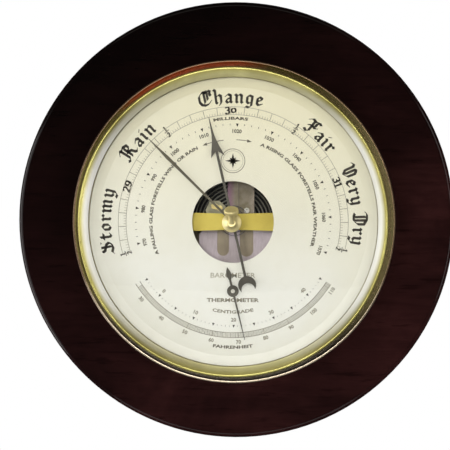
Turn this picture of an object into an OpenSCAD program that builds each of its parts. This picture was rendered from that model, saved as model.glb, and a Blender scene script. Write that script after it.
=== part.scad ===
// Ship barometer: an aneroid movement and a thermometer behind an open dial, on a turned wooden base.
// Inside front(), x runs to the right, y runs up the dial and z is the height above the wall.

/* [Wooden base] */
// Diameter of the turned base
wood_d = 206.6; // [204:0.1:212]
// Thickness of the base
wood_t = 28; // [28:0.5:31]
// Radius of the rounded edge
edge_r = 2.3; // [1.5:0.1:3]
// Step between the flat face and the rounded edge
edge_step = 0.5; // [0.3:0.1:0.8]
// Distance of the base's middle to the right of the dial's axis
wood_x = 0.7; // [0:0.1:1.2]
// Distance of the base's middle above the dial's axis
wood_y = 0.6; // [0:0.1:1.2]
// Wood left between the recess and the wall
back_wall = 5; // [5:0.5:5.5]

/* [Hanger] */
// Height of the keyhole above the centre
hanger_y = 78; // [77:0.5:79]
// Radius of the keyhole's round part
keyhole_r = 4; // [3.8:0.1:4.2]
// Width of the keyhole's slot
keyhole_slot = 4.6; // [4.4:0.1:5]

/* [Case and bezel] */
// Outside diameter of the case
case_d = 130; // [129:0.5:130]
// Thickness of the case's sheet brass
case_t = 0.8; // [0.6:0.1:1]
// Outside diameter of the bezel
bezel_d = 153.1; // [151:0.1:154]
// Height of the bezel's crest above the wood
bezel_rise = 11.8; // [11.6:0.1:12.2]
// Clear diameter inside the bezel's lip
sight_d = 136; // [135.6:0.1:136.4]
// Thickness of the glass
glass_t = 2; // [1.8:0.1:2.2]
// Height of the glass's middle above its rim
glass_rise = 7.8; // [7.6:0.1:9]

/* [Dial] */
// Diameter of the dial plate
dial_d = 135.2; // [134.8:0.1:135.4]
// Thickness of the dial plate
dial_t = 0.8; // [0.6:0.1:0.8]
// Height of the dial above the wood
dial_rise = 6; // [5.8:0.1:6]
// Diameter of the window in the dial
window_d = 38.4; // [36:0.1:42]

/* [Hands] */
// Length of the barometer hand's point
hand_len = 50.4; // [48:0.1:52]
// Direction of the barometer hand, clockwise from the top
hand_angle = -12.9; // [-106:0.1:109]
// Length of the set hand
set_len = 55.5; // [52:0.1:56]
// Direction of the set hand, clockwise from the top
set_angle = -45.3; // [-180:0.1:180]
// Distance of the thermometer's pivot below the centre
thermo_drop = 32.4; // [32:0.1:33]
// Length of the thermometer hand
thermo_len = 23.5; // [20:0.1:24]
// Direction of the thermometer hand, to the right of straight down
thermo_angle = 13.7; // [-90:0.1:90]

/* [Movement] */
// Radius of the movement's base plate
plate_r = 54; // [54:0.5:56]
// Thickness of the base plate
plate_t = 1.6; // [1.4:0.1:1.8]
// Radius of the aneroid capsule
capsule_r = 28; // [26:0.5:28]
// Half the width of the bridge bar at its ends
bar_half = 4.8; // [4.6:0.1:5]
// Half the width of the bridge bar at its waist
bar_waist = 3.7; // [3.5:0.1:4]
// Distance from the centre to the bridge's pillars
bridge_x = 36; // [36:0.5:38]
// Distance from the centre to the rocker shaft
rocker_y = 40; // [40:0.1:40.5]

/* [Hidden] */
$fn = 96;
eps = 0.01;

// heights above the wall
wood_r = wood_d / 2;
floor_z = back_wall + case_t;
deck_z = floor_z + plate_t;
dial_z = wood_t + dial_rise;
dial_back = dial_z - dial_t;
bar_z = dial_z - 6;
bar_t = 1.8;
cock_z = bar_z - 4.4;
cock_t = 1.2;
drum_z = bar_z - 1.2;
leaf_z = deck_z + 12.6;
leaf_t = 1.2;
lever_t = 1.4;
rocker_z = deck_z + 5.6;
thermo_hand_z = dial_z + 0.4;
hand_z = dial_z + 1.4;
set_z = dial_z + 2.6;

// case and bezel
case_r = case_d / 2;
flange_r = case_r + 7;
flange_t = 0.8;
bezel_r = bezel_d / 2;
crest_z = wood_t + bezel_rise;
sight_r = sight_d / 2;
rebate_r = sight_r + 1.9;
glass_r = rebate_r - 0.2;
rim_z = wood_t + 7;
rim_top = rim_z + glass_t - 0.2;
glass_in = rim_z + 0.2 + glass_rise;
glass_out = glass_in + glass_t;
dome_r = (pow(sight_r, 2) + pow(glass_rise, 2)) / (2 * glass_rise);
gasket_t = 0.6;

// screw circles
flange_screw_r = 68.7;
plate_screw_r = 49;
screw_turns = [90, 210, 330];
pillar_turns = [30, 150, 270];
shank_r = 1.5;

// set hand's bush, spindle and knob
bush_r = 2.1;
spindle_r = 1;
knob_foot_r = 4.5;
knob_head_r = 3.4;
knob_lean = 60;
knob_neck = 6.2;
knob_neck_z = 1.7;

// hanger
plate_w = 42;
plate_h = 20;
hanger_t = 1.5;
hanger_z = 0.3;
hanger_screw_x = 16;
keyhole_rise = 8;
nail_room = 12;
nail_depth = 6.4;

// movement
access_r = 4.2;
adjuster_r = 2;
drum_r = 2.1;
chain_r = 0.25;
chain_x = drum_r + chain_r + 0.05;
pivot_r = 0.6;
pivot_gap = 0.05;
crank_len = 3.6;
link_x = 9.2;
link_r = 0.4;
fold_y = -38;
fold_r = (leaf_z + leaf_t - deck_z) / 2;
fold_z = deck_z + fold_r;
post_x = [-20, 14];
wave_pitch = 3.4;
wave_h = 0.45;

// turns the drawing frame so that its z points away from the wall
module front() {
    rotate([90, 0, 0]) children();
}

// turns a piece clockwise on the dial
module clockwise(angle) {
    rotate([0, 0, -angle]) children();
}

module slab(z0, z1) {
    translate([0, 0, z0]) linear_extrude(z1 - z0) children();
}

module post(x, y, z0, z1, r) {
    translate([x, y, z0]) cylinder(h = z1 - z0, r = r);
}

module ring_of(turns, radius) {
    for (turn = turns) rotate([0, 0, turn]) translate([radius, 0, 0]) children();
}

// a slotted screw whose head sits on z = 0
module screw(length, shank, head, head_h) {
    difference() {
        union() {
            translate([0, 0, -length]) cylinder(h = length, r = shank);
            cylinder(h = head_h, r = head);
        }
        translate([-head - 1, -head / 7, head_h * 0.5]) cube([2 * head + 2, head / 3.5, head_h]);
    }
}

module rounded(w, h, r) {
    square([w - 2 * r, h], center = true);
    square([w, h - 2 * r], center = true);
    for (x = [-1, 1], y = [-1, 1]) translate([x * (w / 2 - r), y * (h / 2 - r)]) circle(r);
}

module slot_outline(x, y0, y1, w) {
    translate([x - w / 2, y0]) square([w, y1 - y0]);
    translate([x, y0]) circle(w / 2);
    translate([x, y1]) circle(w / 2);
}

function arc(cx, cy, r, a0, a1, n = 10) =
    [for (i = [0:n]) let (a = a0 + (a1 - a0) * i / n) [cx + r * cos(a), cy + r * sin(a)]];

function spiral(r0, r1, turns, end, n) =
    [for (i = [0:n]) let (a = end - 360 * turns * (1 - i / n), r = r0 + (r1 - r0) * i / n)
        [r * cos(a), r * sin(a)]];

function reversed(list) = [for (i = [len(list) - 1:-1:0]) list[i]];

module spiral_strip(r0, r1, turns, end, n, thick) {
    polygon(concat(spiral(r0, r1, turns, end, n),
                   reversed(spiral(r0 + thick, r1 + thick, turns, end, n))));
}

// ---- base and hanger ----

module wood_base() {
    edge_x = wood_r - edge_r;
    edge_z = wood_t - edge_step;
    color("#3b1512") front() difference() {
        translate([wood_x, wood_y, 0]) rotate_extrude() polygon(concat(
            [[0, 0], [wood_r - 1, 0], [wood_r, 1]],
            arc(edge_x, edge_z - edge_r, edge_r, 0, 90),
            [[edge_x, wood_t], [0, wood_t]]));
        post(0, 0, back_wall, wood_t + 1, case_r + 0.5);
        post(0, 0, -1, back_wall + 1, access_r + 0.3);
        ring_of(pillar_turns, flange_screw_r) post(0, 0, wood_t - 10, wood_t + 1, shank_r);
        slab(-1, hanger_z + hanger_t)
            translate([0, hanger_y + 3]) rounded(plate_w + 0.6, plate_h + 0.6, 3);
        translate([-nail_room / 2, hanger_y - nail_room / 2, hanger_z])
            cube([nail_room, nail_room + keyhole_rise - 1, nail_depth - hanger_z]);
        for (x = [-1, 1]) post(x * hanger_screw_x, hanger_y + 3, 1, 13, shank_r);
    }
}

module hanger_plate() {
    color("goldenrod") front() difference() {
        slab(hanger_z, hanger_z + hanger_t) difference() {
            translate([0, hanger_y + 3]) rounded(plate_w, plate_h, 3);
            slot_outline(0, hanger_y, hanger_y + keyhole_rise, keyhole_slot);
        }
        post(0, hanger_y, -1, hanger_z + hanger_t + 1, keyhole_r);
        for (x = [-1, 1]) translate([x * hanger_screw_x, hanger_y + 3, hanger_z])
            cylinder(h = hanger_t, r1 = shank_r + 1.6, r2 = shank_r + 0.1);
    }
}

module hanger_screws() {
    color("goldenrod") front() for (x = [-1, 1])
        translate([x * hanger_screw_x, hanger_y + 3, hanger_z]) difference() {
            union() {
                cylinder(h = hanger_t, r1 = shank_r + 1.5, r2 = shank_r);
                cylinder(h = 12.5, r = shank_r);
            }
            translate([-4, -0.4, -1]) cube([8, 0.8, 1.7]);
        }
}

// ---- case, bezel and glass ----

module case() {
    color("darkkhaki") front() difference() {
        rotate_extrude() polygon([
            [access_r, back_wall], [case_r, back_wall], [case_r, wood_t], [flange_r, wood_t],
            [flange_r, wood_t + flange_t], [case_r, wood_t + flange_t], [case_r, dial_back],
            [case_r - case_t, dial_back], [case_r - case_t, floor_z], [access_r, floor_z]]);
        ring_of(screw_turns, plate_screw_r) post(0, 0, 0, deck_z, shank_r + 0.1);
        ring_of(pillar_turns, flange_screw_r) post(0, 0, wood_t - 1, wood_t + 2, shank_r + 0.2);
    }
}

module case_screws() {
    color("goldenrod") front() ring_of(pillar_turns, flange_screw_r)
        translate([0, 0, wood_t + flange_t]) screw(10.5, shank_r, 2.6, 1.4);
}

// a turned ring: bead at the foot, hollow side, round crest and a bright slope down to the glass
module bezel() {
    bead = 0.75;
    side_x = bezel_r - 2 * bead;
    side_z = wood_t + 1.7;
    crest_r = 0.9;
    crest_x = bezel_r - 4.6;
    seat_z = wood_t + 3.2;
    flare = side_x - crest_x - crest_r;
    side_h = crest_z - crest_r - side_z;
    lip_z = rim_top + gasket_t;
    color("gold") front() rotate_extrude() polygon(concat(
        [[flange_r + 0.05, wood_t], [bezel_r - bead, wood_t]],
        arc(bezel_r - bead, wood_t + bead, bead, -80, 110),
        [for (i = [1:12]) let (t = i / 12) [side_x - flare * (1 - pow(1 - t, 2)), side_z + side_h * t]],
        arc(crest_x, crest_z - crest_r, crest_r, 10, 105),
        [for (i = [1:6]) let (t = i / 6)
            [crest_x - 0.2 - (crest_x - 0.2 - sight_r) * t,
             crest_z - (crest_z - lip_z - 0.5) * (1 - pow(1 - t, 1.15))]],
        [[sight_r, lip_z], [rebate_r, lip_z], [rebate_r, seat_z], [flange_r + 0.05, seat_z]]));
}

module glass() {
    color("lightcyan", 0.4) front() difference() {
        union() {
            intersection() {
                translate([0, 0, glass_out - dome_r - glass_t]) sphere(dome_r + glass_t);
                post(0, 0, rim_z, glass_out + 1, sight_r - 0.1);
            }
            post(0, 0, rim_z, rim_top, glass_r);
        }
        intersection() {
            translate([0, 0, glass_in - dome_r]) sphere(dome_r);
            post(0, 0, rim_z - 2, glass_out, sight_r - 0.1);
        }
        post(0, 0, rim_z, glass_out + 1, bush_r + 0.05);
    }
}

module glass_gasket() {
    color("dimgray") front() slab(rim_top, rim_top + gasket_t) difference() {
        circle(glass_r);
        circle(sight_r + 0.2);
    }
}

module retaining_ring() {
    color("silver") front() slab(rim_z - 1.4, rim_z) difference() {
        circle(rebate_r - 0.05);
        circle(sight_r + 0.4);
        translate([-1.5, 0]) square([3, 80]);
    }
}

// ---- set hand and its knob ----

module set_bush() {
    color("goldenrod") front() difference() {
        union() {
            post(0, 0, glass_out, glass_out + 0.6, 3.4);
            post(0, 0, glass_in - 1.5, glass_out + eps, bush_r);
        }
        post(0, 0, glass_in - 2, glass_out + 1, spindle_r + 0.05);
    }
}

module set_nut() {
    color("goldenrod") front() slab(glass_in - 1.2, glass_in - 0.1) difference() {
        circle(3.6, $fn = 6);
        circle(bush_r);
    }
}

// flared foot on the spindle, and a round head on a neck that leans up the dial
module set_knob() {
    foot = glass_out + 0.8;
    color("gold") front() {
        post(0, 0, set_z - 0.4, foot + 1, spindle_r);
        translate([0, 0, foot]) {
            rotate_extrude() polygon([
                [0, 0], [knob_foot_r, 0], [knob_foot_r, 0.7], [knob_foot_r - 0.4, 1.1], [2.6, 1.7],
                [1.9, 2.5], [0, 2.5]]);
            translate([0, 0, knob_neck_z]) rotate([-knob_lean, 0, 0]) rotate_extrude() polygon(concat(
                [[0, 0], [1.6, 0], [1.6, knob_neck - 1.8], [2.6, knob_neck - 1.2],
                 [knob_head_r, knob_neck - 0.7], [knob_head_r, knob_neck + 0.5]],
                arc(knob_head_r - 0.7, knob_neck + 0.5, 0.7, 20, 80, 4),
                [[1.4, knob_neck + 1.35], [0, knob_neck + 1.45]]));
        }
    }
}

module set_hand() {
    blade_t = 0.3;
    color("#3c382e") front() clockwise(set_angle) difference() {
        union() {
            slab(set_z, set_z + blade_t) polygon([
                [-0.55, 1], [-0.55, 20], [-0.6, 32], [-0.8, set_len * 0.775], [-0.5, set_len * 0.86],
                [-0.12, set_len], [0.12, set_len], [0.5, set_len * 0.86], [0.8, set_len * 0.775],
                [0.6, 32], [0.55, 20], [0.55, 1]]);
            post(0, 0, set_z - 0.3, set_z + 1.2, 1.9);
        }
        post(0, 0, set_z - 1, set_z + 2, spindle_r);
    }
}

// ---- dial ----

module dial() {
    color("ivory") front() {
        difference() {
            rotate_extrude() polygon([
                [window_d / 2, dial_back], [dial_d / 2, dial_back], [dial_d / 2, dial_z + 0.5],
                [dial_d / 2 - 4.6, dial_z], [window_d / 2, dial_z]]);
            post(0, -thermo_drop, dial_back - 1, dial_z + 1, 1);
        }
        ring_of(pillar_turns, plate_screw_r) post(0, 0, dial_back - 4, dial_back + eps, 1.2);
    }
}

module dial_pillars() {
    color("goldenrod") front() ring_of(pillar_turns, plate_screw_r) difference() {
        post(0, 0, deck_z, dial_back, 2.5);
        post(0, 0, dial_back - 5, dial_back + 1, 1.25);
    }
}

// ---- movement frame ----

module base_plate() {
    color("darkgoldenrod") front() slab(floor_z, deck_z) difference() {
        circle(plate_r);
        circle(adjuster_r + 0.05);
        ring_of(screw_turns, plate_screw_r) circle(shank_r + 0.1);
    }
}

module movement_screws() {
    color("silver") front() ring_of(screw_turns, plate_screw_r)
        translate([0, 0, deck_z]) screw(deck_z - back_wall, shank_r, 2.8, 1.5);
}

module bridge_bar() {
    color("gold") front() difference() {
        union() {
            slab(bar_z, bar_z + bar_t) {
                polygon([[-bridge_x, -bar_half], [0, -bar_waist], [bridge_x, -bar_half],
                         [bridge_x, bar_half], [0, bar_waist], [-bridge_x, bar_half]]);
                for (x = [-1, 1]) translate([x * bridge_x, 0]) circle(bar_half);
            }
            post(0, 0, bar_z, bar_z + bar_t + 0.5, 3.4);
        }
        post(0, 0, bar_z - 1, bar_z + bar_t + 1, pivot_r + pivot_gap);
        for (x = [-1, 1]) post(x * bridge_x, 0, bar_z - 1, bar_z + bar_t + 1, shank_r);
    }
}

module bridge_pillars() {
    color("goldenrod") front() for (x = [-1, 1]) difference() {
        post(x * bridge_x, 0, deck_z, bar_z, 2.6);
        post(x * bridge_x, 0, bar_z - 6, bar_z + 1, shank_r);
    }
}

module bridge_screws() {
    color("silver") front() for (x = [-1, 1])
        translate([x * bridge_x, 0, bar_z + bar_t]) screw(bar_t + 5, shank_r, 2.5, 1.2);
}

// small cock under the bar: lower pivot of the arbor, with an ear for the hairspring's stud
module lower_cock() {
    color("gold") front() difference() {
        union() {
            slab(cock_z, cock_z + cock_t) {
                square([24, 5.6], center = true);
                polygon([[-12, 0], [-13.4, 5.5], [-11.5, 9.6], [-7, 9.9], [-3.8, 7.2], [-4, 0]]);
            }
            for (x = [-1, 1]) post(x * 10.4, 0, cock_z, bar_z, 1.4);
        }
        post(0, 0, cock_z - 1, cock_z + 2, pivot_r + pivot_gap);
    }
}

module hairspring_stud() {
    color("gold") front() {
        post(-6.6, 6.4, cock_z + cock_t, cock_z + cock_t + 2, 1.3);
        slab(cock_z + cock_t, cock_z + cock_t + 1.2)
            polygon([[-10.8, 8], [-8.6, 8.6], [-6.2, 7], [-7.4, 5.6], [-10.4, 6.2]]);
    }
}

module hairspring() {
    color("steelblue") front() slab(cock_z + cock_t + 0.3, cock_z + cock_t + 0.8)
        spiral_strip(1.3, 7.6, 4, 135.5, 96, 0.18);
}

// ---- arbor, drum, chain and barometer hand ----

module centre_arbor() {
    color("silver") front() {
        post(0, 0, cock_z + 0.1, hand_z + 0.5, pivot_r);
        post(0, 0, cock_z + cock_t + 0.2, cock_z + cock_t + 0.9, 1.2);
    }
}

module chain_drum() {
    color("gold") front() difference() {
        union() {
            post(0, 0, drum_z - 0.8, drum_z + 0.8, drum_r);
            post(0, 0, drum_z - 0.8, drum_z - 0.5, drum_r + 0.8);
            post(0, 0, drum_z + 0.5, drum_z + 0.8, drum_r + 0.8);
        }
        post(0, 0, drum_z - 1, drum_z + 1, pivot_r);
    }
}

module chain() {
    color("silver") front() translate([chain_x, 0, drum_z]) rotate([-90, 0, 0])
        cylinder(h = rocker_y - 1.3, r = chain_r);
}

module hand_collet() {
    color("gold") front() difference() {
        post(0, 0, hand_z - 1.1, hand_z, 1.6);
        post(0, 0, hand_z - 2, hand_z + 1, pivot_r);
    }
}

// fine point, barbed head, slim stem and a crescent counterweight
module barometer_hand() {
    moon_y = -30.2;
    moon_r = 4.2;
    color("#3c382e") front() clockwise(hand_angle) slab(hand_z, hand_z + 0.4) difference() {
        union() {
            polygon([
                [-0.6, -26.5], [0.6, -26.5], [0.6, 33.8], [1.3, 33.3], [3.2, 31.4], [2.5, 34],
                [1.8, 36.4], [1.1, 39], [0.6, 42], [0.12, hand_len], [-0.12, hand_len],
                [-0.6, 42], [-1.1, 39], [-1.8, 36.4], [-2.5, 34], [-3.2, 31.4], [-1.3, 33.3],
                [-0.6, 33.8]]);
            circle(2.2);
            difference() {
                translate([0, moon_y]) circle(moon_r);
                translate([0, moon_y - 2.4]) circle(moon_r - 1);
            }
        }
        circle(pivot_r);
    }
}

// ---- capsule, spring and lever ----

module capsule() {
    body_z = deck_z + 0.8;
    top_z = body_z + 4.6;
    waves = [for (i = [0:36]) let (r = 5 + (capsule_r - 7) * i / 36)
        [r, top_z + wave_h * cos(360 * (r - 5) / wave_pitch)]];
    color("lightgray") front() difference() {
        rotate_extrude() polygon(concat(
            [[0, deck_z], [6, deck_z], [6, body_z], [capsule_r - 1, body_z], [capsule_r, body_z + 0.8],
             [capsule_r, body_z + 3.4], [capsule_r - 1, body_z + 4.2]],
            reversed(waves),
            [[4, top_z + 0.6], [4, deck_z + 7], [0, deck_z + 7]]));
        post(0, 0, deck_z - 1, deck_z + 0.6, adjuster_r + 0.2);
    }
}

module adjusting_screw() {
    color("goldenrod") front() difference() {
        union() {
            post(0, 0, back_wall - 2.2, back_wall - 0.7, 3.4);
            post(0, 0, back_wall - 0.7 - eps, deck_z + 0.4, adjuster_r);
        }
        translate([-4, -0.5, 0]) cube([8, 1, back_wall - 1.5]);
    }
}

module capsule_stud() {
    color("silver") front() difference() {
        post(0, 0, deck_z + 7, leaf_z + leaf_t + 1.2, 1.4);
        translate([-2, 0, leaf_z + leaf_t + 0.5]) rotate([0, 90, 0]) cylinder(h = 4, r = 0.5);
    }
}

module knife_pin() {
    color("gray") front() translate([-3.8, 0, leaf_z + leaf_t + 0.5]) rotate([0, 90, 0])
        cylinder(h = 7.6, r = 0.5);
}

// a broad leaf with two pressed channels, folded back to a foot; the stud pulls on it through its hole
module mainspring() {
    channel_depth = 0.5;
    color("thistle") front() {
        difference() {
            slab(leaf_z, leaf_z + leaf_t) polygon([
                [-12, fold_y - 0.5], [12, fold_y - 0.5], [12, -33], [19, -26], [19, -6], [15, -2],
                [9, 2.4], [9, 9], [-2.5, 9], [-2.5, 2.4], [-12.7, -2], [-16.7, -6], [-16.7, -26],
                [-12, -33]]);
            slab(leaf_z + leaf_t - channel_depth, leaf_z + leaf_t + 1) {
                slot_outline(-5.3, -13.6, -5.4, 5.6);
                slot_outline(5.9, -13.6, -5.7, 6.4);
            }
            post(0, 0, leaf_z - 1, leaf_z + leaf_t + 1, 1.9);
        }
        translate([-12, 0, 0]) rotate([90, 0, 90]) linear_extrude(24) {
            difference() {
                translate([fold_y, fold_z]) circle(fold_r);
                translate([fold_y, fold_z]) circle(fold_r - leaf_t);
                translate([fold_y, 0]) square([20, 60]);
            }
            translate([fold_y - eps, deck_z]) square([6.6, leaf_t]);
        }
    }
}

module spring_clamp() {
    color("silver") front() slab(deck_z + leaf_t, deck_z + 2 * leaf_t)
        translate([0, -34.6]) rounded(20, 5.4, 1);
}

module clamp_screws() {
    color("silver") front() for (x = [-1, 1])
        post(x * 6, -34.6, deck_z + 2 * leaf_t, deck_z + 2 * leaf_t + 1.3, 2.1);
}

module lever_arm() {
    z0 = leaf_z + leaf_t;
    color("lightslategray") front() difference() {
        slab(z0, z0 + lever_t) {
            polygon([
                [-3, 3], [9.6, 3], [9.6, 31], [10.8, 32], [10.8, rocker_y - 1.6], [6, rocker_y - 1.6],
                [6, 33.5], [-1, 33.5], [-3, 31.5]]);
        }
        post(link_x, rocker_y - crank_len, z0 - 1, z0 + 3, link_r);
    }
}

module lever_screws() {
    z0 = leaf_z + leaf_t + lever_t;
    color("silver") front() for (x = [0.6, 6]) post(x, 5.2, z0, z0 + 0.7, 1.3);
}

// wire link from the lever down to the rocker's crank, with a nut on each side of the lever
module link() {
    y = rocker_y - crank_len;
    z0 = leaf_z + leaf_t;
    color("silver") front() {
        post(link_x, y, rocker_z - link_r, z0 + lever_t + 1.4, link_r);
        post(link_x, y, z0 + lever_t, z0 + lever_t + 0.9, 1.1);
        post(link_x, y, z0 - 0.9, z0, 1.1);
        translate([link_x - 3, y, rocker_z]) rotate([0, 90, 0]) cylinder(h = 3, r = link_r);
    }
}

// ---- rocker ----

module rocker_posts() {
    color("goldenrod") front() for (x = post_x) difference() {
        translate([x - 1.4, rocker_y - 2.6, deck_z]) cube([2.8, 5.2, 8.2]);
        translate([x - 3, rocker_y, rocker_z]) rotate([0, 90, 0])
            cylinder(h = 6, r = pivot_r + 0.1 + pivot_gap);
    }
}

module rocker_shaft() {
    x0 = post_x[0] + 1.7;
    x1 = post_x[1] - 1.7;
    color("silver") front() translate([0, rocker_y, rocker_z]) rotate([0, 90, 0]) {
        translate([0, 0, x0]) cylinder(h = x1 - x0, r = 1.4);
        translate([0, 0, x0 - 2.8]) cylinder(h = x1 - x0 + 5.6, r = pivot_r + 0.1);
    }
}

module rocker_arm() {
    reach = drum_z - rocker_z + 0.8;
    color("gold") front() translate([chain_x - 0.6, rocker_y, rocker_z]) rotate([90, 0, 90])
        difference() {
            union() {
                cylinder(h = 1.2, r = 2.4);
                linear_extrude(1.2) polygon([[-1.3, 1.6], [-0.8, reach], [0.8, reach], [1.3, 1.6]]);
            }
            translate([0, 0, -1]) cylinder(h = 4, r = 1.4);
        }
}

module rocker_crank() {
    color("gold") front() translate([6.7, rocker_y, rocker_z]) rotate([90, 0, 90])
        linear_extrude(1.6) difference() {
            union() {
                circle(2.4);
                translate([-crank_len, -1.6]) square([crank_len, 3.2]);
                translate([-crank_len, 0]) circle(1.6);
            }
            circle(1.4);
            translate([-crank_len, 0]) circle(link_r + 0.4);
        }
}

// ---- thermometer ----

module thermometer_bracket() {
    back_z = dial_back - 6.8;
    color("goldenrod") front() translate([0, -thermo_drop, 0]) difference() {
        union() {
            slab(back_z, back_z + 1) rounded(24, 8, 1);
            slab(dial_back - 1, dial_back) rounded(24, 8, 1);
            for (x = [-1, 1]) translate([x * 11 - 1, -3, back_z]) cube([2, 6, dial_back - back_z]);
        }
        post(0, 0, back_z - 1, dial_back + 1, pivot_r + pivot_gap);
    }
}

module bimetal_coil() {
    coil_z = dial_back - 4.8;
    color("peru") front() translate([0, -thermo_drop, 0]) {
        slab(coil_z, coil_z + 3) spiral_strip(1.5, 7.9, 3, 0, 72, 0.4);
        translate([7.8, -0.9, coil_z]) cube([2.2, 0.8, 3]);
    }
}

module thermometer_arbor() {
    color("wheat") front() translate([0, -thermo_drop, 0]) {
        post(0, 0, dial_back - 6.9, thermo_hand_z + 0.5, pivot_r);
        post(0, 0, dial_back - 5, dial_back - 1.6, 1.4);
        post(0, 0, thermo_hand_z + 0.3, thermo_hand_z + 0.6, 0.95);
    }
}

module thermometer_hand() {
    color("#3c382e") front() translate([0, -thermo_drop, 0]) rotate([0, 0, thermo_angle])
        slab(thermo_hand_z, thermo_hand_z + 0.3) difference() {
            union() {
                circle(2.75);
                polygon([
                    [-0.12, -thermo_len], [0.12, -thermo_len], [0.55, 0], [0.5, 5.4], [1.3, 7.6],
                    [0.9, 9.6], [0, 11.6], [-0.9, 9.6], [-1.3, 7.6], [-0.5, 5.4], [-0.55, 0]]);
            }
            circle(pivot_r);
        }
}

wood_base();
hanger_plate();
hanger_screws();
case();
case_screws();
bezel();
glass();
glass_gasket();
retaining_ring();
set_bush();
set_nut();
set_knob();
set_hand();
dial();
dial_pillars();
base_plate();
movement_screws();
bridge_bar();
bridge_pillars();
bridge_screws();
lower_cock();
hairspring_stud();
hairspring();
centre_arbor();
chain_drum();
chain();
hand_collet();
barometer_hand();
capsule();
adjusting_screw();
capsule_stud();
knife_pin();
mainspring();
spring_clamp();
clamp_screws();
lever_arm();
lever_screws();
link();
rocker_posts();
rocker_shaft();
rocker_arm();
rocker_crank();
thermometer_bracket();
bimetal_coil();
thermometer_arbor();
thermometer_hand();
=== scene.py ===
"""Looks of the ship barometer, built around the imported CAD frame.

Flat shapes and profiles are drawn in dial coordinates, in millimetres: x to the right, y up the dial
and h the height above the wall. front() turns them into the row's frame, in metres.
"""
import math

import bmesh
import bpy
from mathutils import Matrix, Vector


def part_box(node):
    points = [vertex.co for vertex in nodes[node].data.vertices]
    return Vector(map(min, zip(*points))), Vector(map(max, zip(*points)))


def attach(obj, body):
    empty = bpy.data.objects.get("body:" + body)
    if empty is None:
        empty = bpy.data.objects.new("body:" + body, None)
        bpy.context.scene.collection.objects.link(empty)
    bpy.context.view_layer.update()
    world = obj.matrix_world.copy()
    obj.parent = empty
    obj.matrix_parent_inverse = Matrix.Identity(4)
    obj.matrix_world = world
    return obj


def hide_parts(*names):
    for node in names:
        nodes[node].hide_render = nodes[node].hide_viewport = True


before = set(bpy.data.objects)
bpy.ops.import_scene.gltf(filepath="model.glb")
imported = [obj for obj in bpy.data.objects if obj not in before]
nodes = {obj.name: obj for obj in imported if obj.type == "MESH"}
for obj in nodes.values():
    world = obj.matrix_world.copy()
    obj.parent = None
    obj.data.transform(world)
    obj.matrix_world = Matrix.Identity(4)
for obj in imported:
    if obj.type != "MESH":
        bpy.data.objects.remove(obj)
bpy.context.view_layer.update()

MM = 0.001
FULL_TURN = 2 * math.pi


# ---- places taken from the frame ----

def front(x, y, h):
    return Vector((x * MM, -h * MM, y * MM))


def top_of(node):
    return -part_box(node)[0].y / MM


def foot_of(node):
    return -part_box(node)[1].y / MM


def radius_of(node):
    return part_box(node)[1].x / MM


def centre_of(node):
    low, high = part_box(node)
    return (low.x + high.x) / 2 / MM, (low.z + high.z) / 2 / MM


DIAL_LIP = 0.5
dial_face = top_of("dial") - DIAL_LIP


# ---- mesh helpers ----

def mesh_piece(name, points, faces, sharp=35):
    """A mesh from dial points, smooth except where it turns by more than the sharp angle."""
    mesh = bpy.data.meshes.new(name)
    mesh.from_pydata([front(*p) for p in points], [], faces)
    work = bmesh.new()
    work.from_mesh(mesh)
    bmesh.ops.remove_doubles(work, verts=work.verts, dist=1e-7)
    bmesh.ops.recalc_face_normals(work, faces=work.faces)
    work.to_mesh(mesh)
    work.free()
    mesh.shade_smooth()
    mesh.set_sharp_from_angle(angle=math.radians(sharp))
    piece = bpy.data.objects.new(name, mesh)
    bpy.context.scene.collection.objects.link(piece)
    return piece


def turned(profile, segments=256, closed=True, ripple=None):
    """A profile of (radius, height) points turned about the dial's axis; ripple(k, turn) adds to a radius."""
    points = []
    for s in range(segments):
        turn = FULL_TURN * s / segments
        for k, (r, h) in enumerate(profile):
            if ripple and r > 0:
                r += ripple(k, turn)
            points.append((r * math.cos(turn), r * math.sin(turn), h))
    n = len(profile)
    faces = []
    for s in range(segments):
        here, there = s * n, (s + 1) % segments * n
        for k in range(n if closed else n - 1):
            after = (k + 1) % n
            faces.append((here + k, there + k, there + after, here + after))
    return points, faces


def lathe(name, profile, segments=256, closed=True):
    return mesh_piece(name, *turned(profile, segments, closed))


def arc(cx, cy, r, a0, a1, n=12):
    steps = [math.radians(a0 + (a1 - a0) * i / n) for i in range(n + 1)]
    return [(cx + r * math.cos(a), cy + r * math.sin(a)) for a in steps]


# ---- flat print: shapes are (points, faces) pairs ----

def hull(points):
    """The convex outline of some points, anticlockwise."""
    points = sorted(set(points))

    def half(order):
        chain = []
        for p in order:
            while len(chain) > 1:
                (ax, ay), (bx, by) = chain[-2], chain[-1]
                if (bx - ax) * (p[1] - ay) - (by - ay) * (p[0] - ax) > 0:
                    break
                chain.pop()
            chain.append(p)
        return chain[:-1]

    return half(points) + half(points[::-1])


def polygon(points):
    return points, [tuple(range(len(points)))]


def nib(width, thick, angle):
    """The corners of a flat pen held at an angle."""
    c, s = math.cos(math.radians(angle)), math.sin(math.radians(angle))
    return [(u * width / 2 * c - v * thick / 2 * s, u * width / 2 * s + v * thick / 2 * c)
            for u, v in ((-1, -1), (1, -1), (1, 1), (-1, 1))]


def pen(strokes, corners):
    """What a flat pen leaves along each stroke."""
    shapes = []
    for stroke in strokes:
        for (ax, ay), (bx, by) in zip(stroke, stroke[1:]):
            ends = [(ax + x, ay + y) for x, y in corners] + [(bx + x, by + y) for x, y in corners]
            shapes.append(polygon(hull([(round(x, 5), round(y, 5)) for x, y in ends])))
    return shapes


def moved(shapes, x=0.0, y=0.0, scale=1.0):
    return [([(px * scale + x, py * scale + y) for px, py in points], faces) for points, faces in shapes]


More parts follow.
